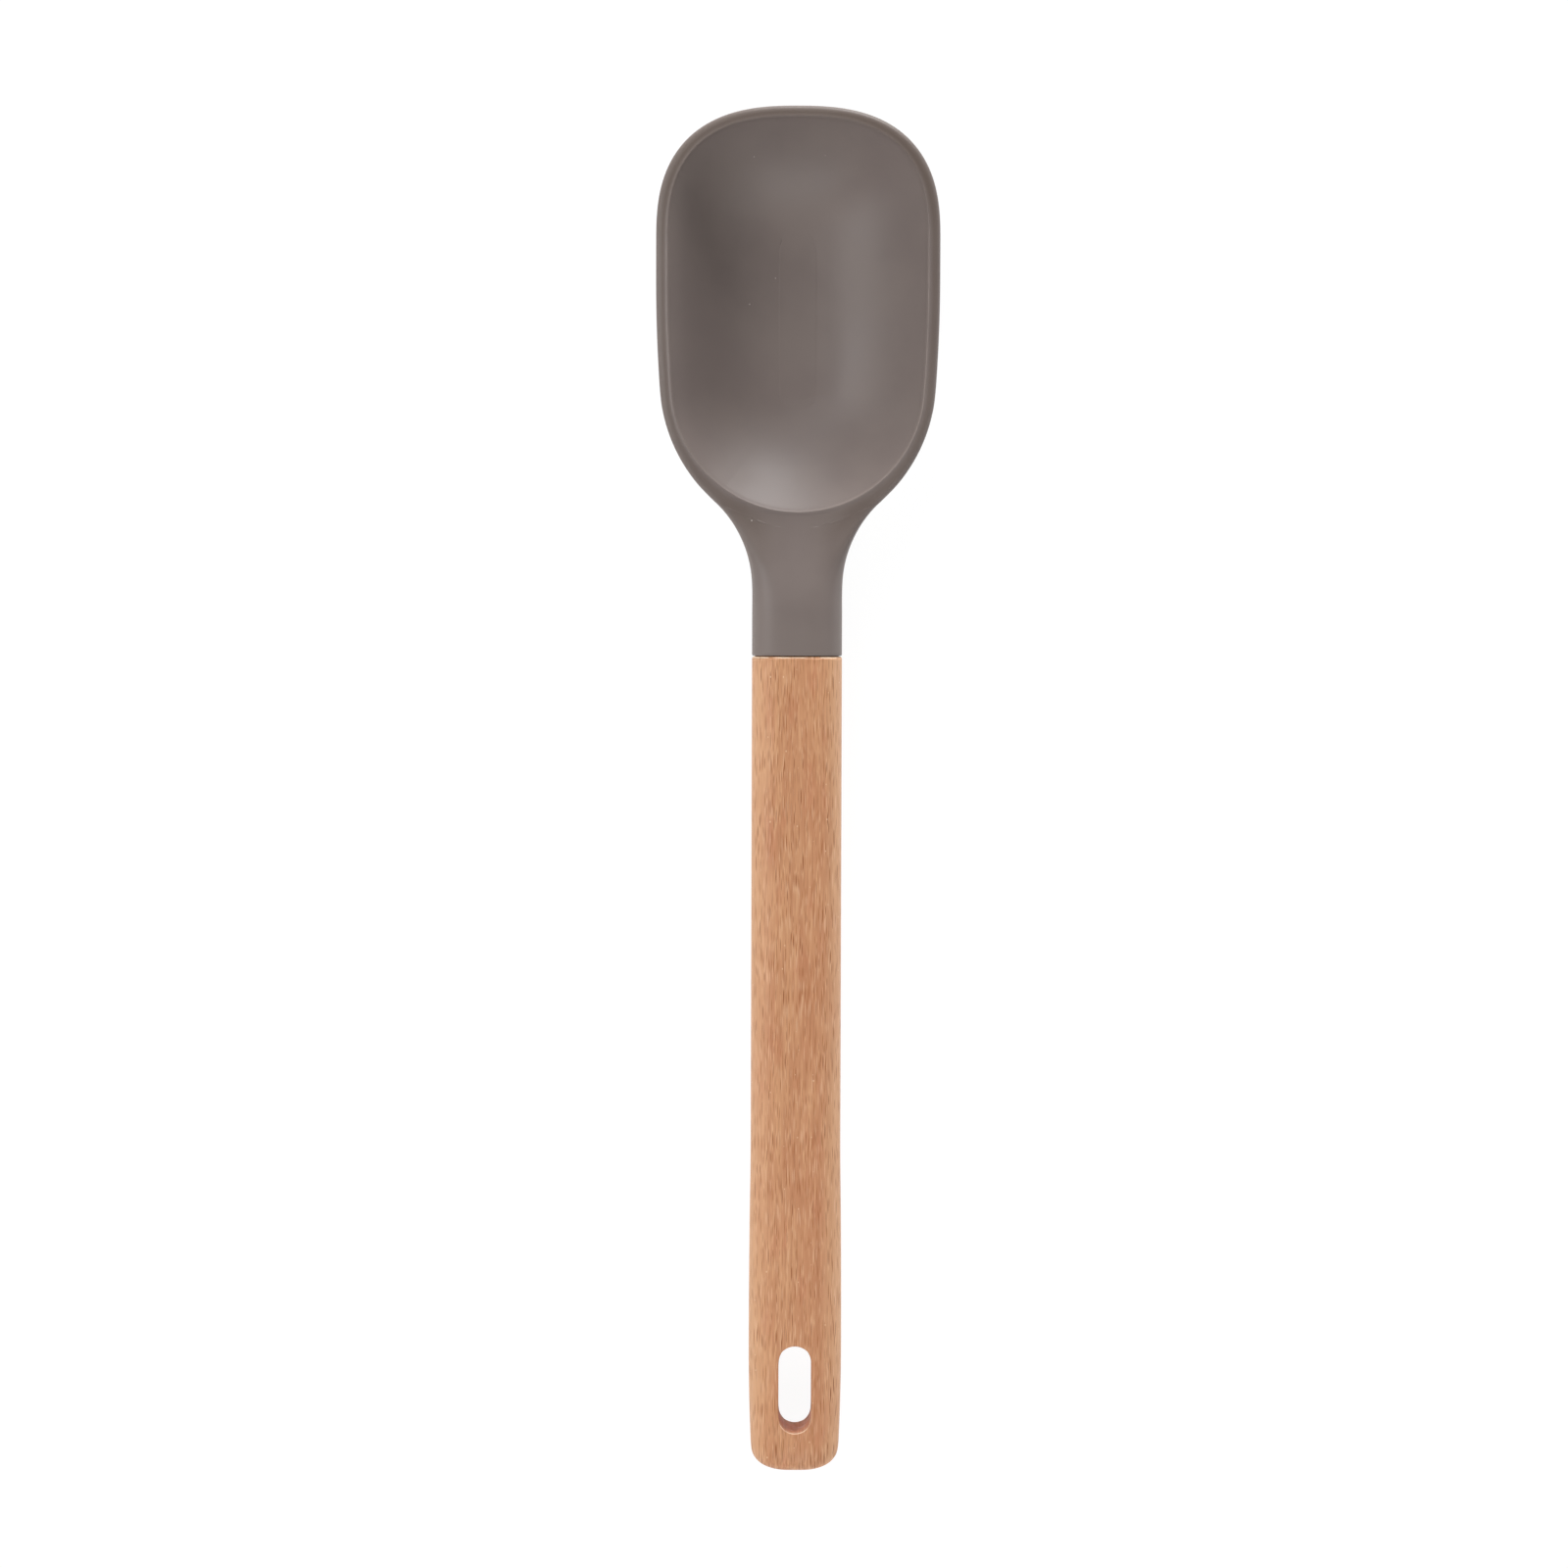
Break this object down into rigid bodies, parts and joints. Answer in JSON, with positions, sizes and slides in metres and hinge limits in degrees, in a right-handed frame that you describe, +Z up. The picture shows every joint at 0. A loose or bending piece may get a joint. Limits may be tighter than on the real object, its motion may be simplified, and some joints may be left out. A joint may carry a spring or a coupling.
{
  "type": "silicone rice spoon",
  "caption": "Rice spoon with a grey silicone bowl and neck over a stiff core, glued to a flattened oval beech handle with a hanging slot.",
  "frame": {"origin": "centre of the bounding box in X and Y, on the table the spoon lies on", "axes": "+X to the right across the bowl, +Y from the handle's butt to the bowl's tip, +Z up out of the bowl"},
  "size_m": [0.0664, 0.32, 0.0222],
  "materials": {
    "silicone": "matte",
    "nylon": "matte",
    "beech": "sanded, oiled",
    "glue": "cured"
  },
  "bodies": {
    "root": {"silicone_head": "silicone", "nylon_core": "nylon", "beech_handle": "beech", "tang_glue": "glue"}
  },
  "joints": []
}
